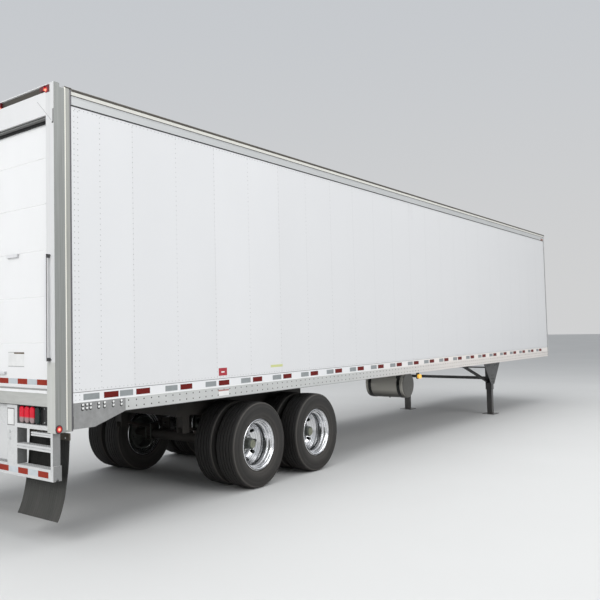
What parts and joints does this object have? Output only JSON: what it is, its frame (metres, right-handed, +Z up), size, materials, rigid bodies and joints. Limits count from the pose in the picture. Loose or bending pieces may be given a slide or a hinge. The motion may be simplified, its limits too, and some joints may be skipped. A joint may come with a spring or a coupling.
{
  "type": "refrigerated van semi trailer",
  "caption": "White insulated van semi trailer with a roll-up rear door, nose cooling unit, sliding tandem on twin wheels, landing gear and kingpin coupler.",
  "frame": {"origin": "on the ground below the centre of the whole trailer", "axes": "+X forward to the kingpin and nose unit, +Y left, +Z up"},
  "size_m": [15.135, 2.601, 4.115],
  "materials": {
    "skin_white": "satin white coated sheet",
    "door_white": "satin white coated panels",
    "rail_aluminium": "satin extrusion",
    "roof_aluminium": "dull sheet",
    "floor_aluminium": "worn extrusion",
    "post_stainless": "brushed",
    "guard_steel": "galvanised",
    "under_steel": "black undercoat",
    "beam_aluminium": "mill finish, dusty",
    "leg_paint": "semi-gloss black",
    "kingpin_steel": "greased",
    "tank_aluminium": "polished",
    "strap_steel": "dark coated",
    "unit_white": "gloss white",
    "grille_black": "moulded",
    "engine_iron": "painted",
    "plug_metal": "cast",
    "spring_steel": "black",
    "chamber_black": "semi-gloss black",
    "tyre": "ribbed rubber",
    "wheel_aluminium": "polished forging",
    "hub_iron": "painted",
    "flap_rubber": "moulded sheet",
    "lamp_red": "clear red lens",
    "handle_steel": "plated",
    "seal_rubber": "ribbed strip",
    "lamp_housing": "moulded",
    "lamp_amber": "clear amber lens",
    "plate_white": "lit white plate"
  },
  "bodies": {
    "trailer": {"floor": "floor_aluminium", "crossmembers": "beam_aluminium", "side_wall_right": "skin_white", "side_wall_left": "skin_white", "side_rails": "rail_aluminium", "top_rails": "rail_aluminium", "roof": "roof_aluminium", "front_wall": "skin_white", "corner_posts": "rail_aluminium", "rear_posts": "post_stainless", "rear_header": "door_white", "rear_sill": "post_stainless", "rear_gussets": "guard_steel", "roll_door": "door_white", "rear_handles": "handle_steel", "rear_guard": "guard_steel", "mudflaps": "flap_rubber", "tail_lamps": "lamp_red", "marker_lamps": "lamp_red", "coupler": "under_steel", "kingpin": "kingpin_steel", "landing_gear": "leg_paint", "landing_feet": "leg_paint", "slider_rails": "under_steel", "fuel_tank": "tank_aluminium", "tank_brackets": "strap_steel", "unit_housing": "unit_white", "unit_grille": "grille_black", "unit_engine": "engine_iron", "service_plugs": "plug_metal", "door_seals": "seal_rubber", "flap_hangers": "guard_steel", "lamp_housings": "lamp_housing", "middle_lamps": "lamp_amber", "lamp_brackets": "guard_steel", "side_plates": "plate_white"},
    "bogie": {"bogie_frame": "under_steel", "axles": "under_steel", "springs": "spring_steel", "air_brakes": "chamber_black"},
    "service_door_right": {"unit_door_right": "unit_white"},
    "service_door_left": {"unit_door_left": "unit_white"},
    "wheel_pair_rear_right": {"tyres_rear_right": "tyre", "wheels_rear_right": "wheel_aluminium", "hub_rear_right": "hub_iron"},
    "wheel_pair_rear_left": {"tyres_rear_left": "tyre", "wheels_rear_left": "wheel_aluminium", "hub_rear_left": "hub_iron"},
    "wheel_pair_front_right": {"tyres_front_right": "tyre", "wheels_front_right": "wheel_aluminium", "hub_front_right": "hub_iron"},
    "wheel_pair_front_left": {"tyres_front_left": "tyre", "wheels_front_left": "wheel_aluminium", "hub_front_left": "hub_iron"}
  },
  "joints": [
    {"name": "bogie_slide", "type": "slide", "parent": "trailer", "child": "bogie", "axis": [1, 0, 0], "range_m": [-1.2192, 0.4572]},
    {"name": "service_door_right_hinge", "type": "hinge", "parent": "trailer", "child": "service_door_right", "pos_m": [7.5575, -0.8825, 2.3], "axis": [0, 0, -1], "range_deg": [0, 110]},
    {"name": "service_door_left_hinge", "type": "hinge", "parent": "trailer", "child": "service_door_left", "pos_m": [7.5575, 0.8825, 2.3], "axis": [0, 0, 1], "range_deg": [0, 110]},
    {"name": "wheel_spin_rear_right", "type": "hinge", "parent": "bogie", "child": "wheel_pair_rear_right", "pos_m": [-4.5995, -0.984, 0.507], "axis": [0, 1, 0], "continuous": true},
    {"name": "wheel_spin_rear_left", "type": "hinge", "parent": "bogie", "child": "wheel_pair_rear_left", "pos_m": [-4.5995, 0.984, 0.507], "axis": [0, 1, 0], "continuous": true},
    {"name": "wheel_spin_front_right", "type": "hinge", "parent": "bogie", "child": "wheel_pair_front_right", "pos_m": [-3.3545, -0.984, 0.507], "axis": [0, 1, 0], "continuous": true},
    {"name": "wheel_spin_front_left", "type": "hinge", "parent": "bogie", "child": "wheel_pair_front_left", "pos_m": [-3.3545, 0.984, 0.507], "axis": [0, 1, 0], "continuous": true}
  ]
}
